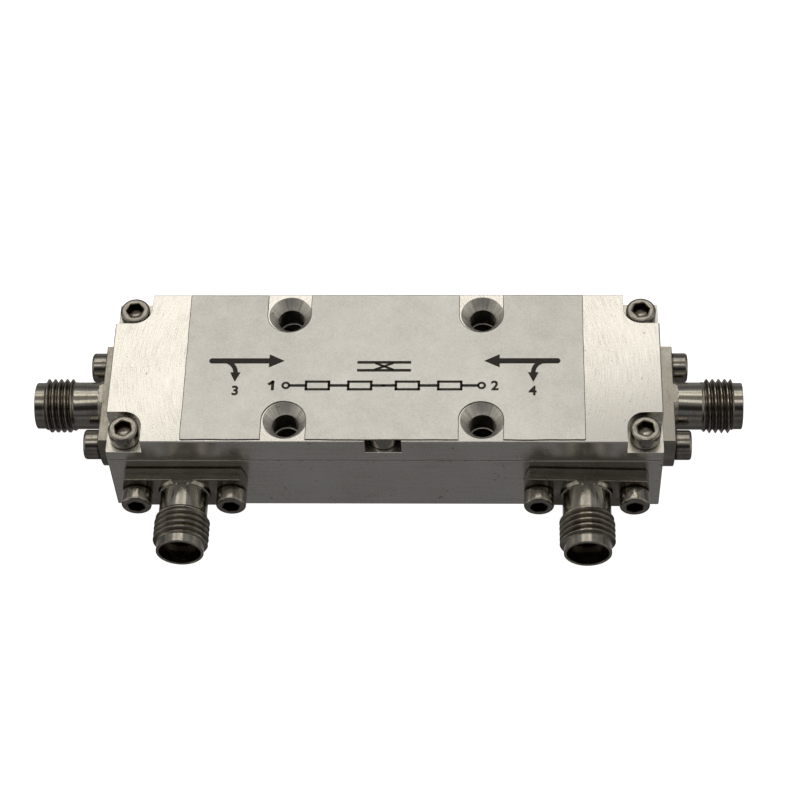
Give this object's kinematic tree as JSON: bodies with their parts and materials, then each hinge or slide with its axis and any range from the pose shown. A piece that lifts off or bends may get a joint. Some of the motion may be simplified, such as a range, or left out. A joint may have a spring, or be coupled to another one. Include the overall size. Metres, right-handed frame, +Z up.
{
  "type": "directional coupler",
  "caption": "Directional coupler: milled aluminium housing with a screwed lid, threaded coaxial connectors on its ends for the through line and on its front for the coupled ports.",
  "frame": {"origin": "centre of the housing's bottom face", "axes": "+X along the through line to the right end connector, +Y to the rear, +Z up through the lid; the coupled ports point to -Y"},
  "size_m": [0.082, 0.0302, 0.0133],
  "materials": {
    "machined_aluminium": "fly-cut and brushed bare aluminium",
    "label_film": "matte silver film",
    "ink": "flat black print",
    "stainless_steel": "turned stainless steel",
    "white_insulator": "waxy white fluoropolymer",
    "gold_plate": "gold-plated copper alloy",
    "board_laminate": "glass laminate with solder mask",
    "copper": "tinned copper",
    "resistor_ceramic": "glazed ceramic chip",
    "ferrite": "sintered ferrite"
  },
  "bodies": {
    "root": {"housing": "machined_aluminium", "lid": "machined_aluminium", "label": "label_film", "flow_arrows": "ink", "lid_screws": "stainless_steel", "flange_screws": "stainless_steel", "left_end_shell": "stainless_steel", "right_end_shell": "stainless_steel", "left_side_shell": "stainless_steel", "right_side_shell": "stainless_steel", "left_end_insulator": "white_insulator", "right_end_insulator": "white_insulator", "left_side_insulator": "white_insulator", "right_side_insulator": "white_insulator", "left_end_contact": "gold_plate", "right_end_contact": "gold_plate", "left_side_contact": "gold_plate", "right_side_contact": "gold_plate", "circuit_board": "board_laminate", "board_tracks": "copper", "board_screws": "stainless_steel", "bridge_resistors": "resistor_ceramic", "left_balun_cores": "ferrite", "right_balun_cores": "ferrite", "left_balun_coax": "copper", "right_balun_coax": "copper"}
  },
  "joints": []
}
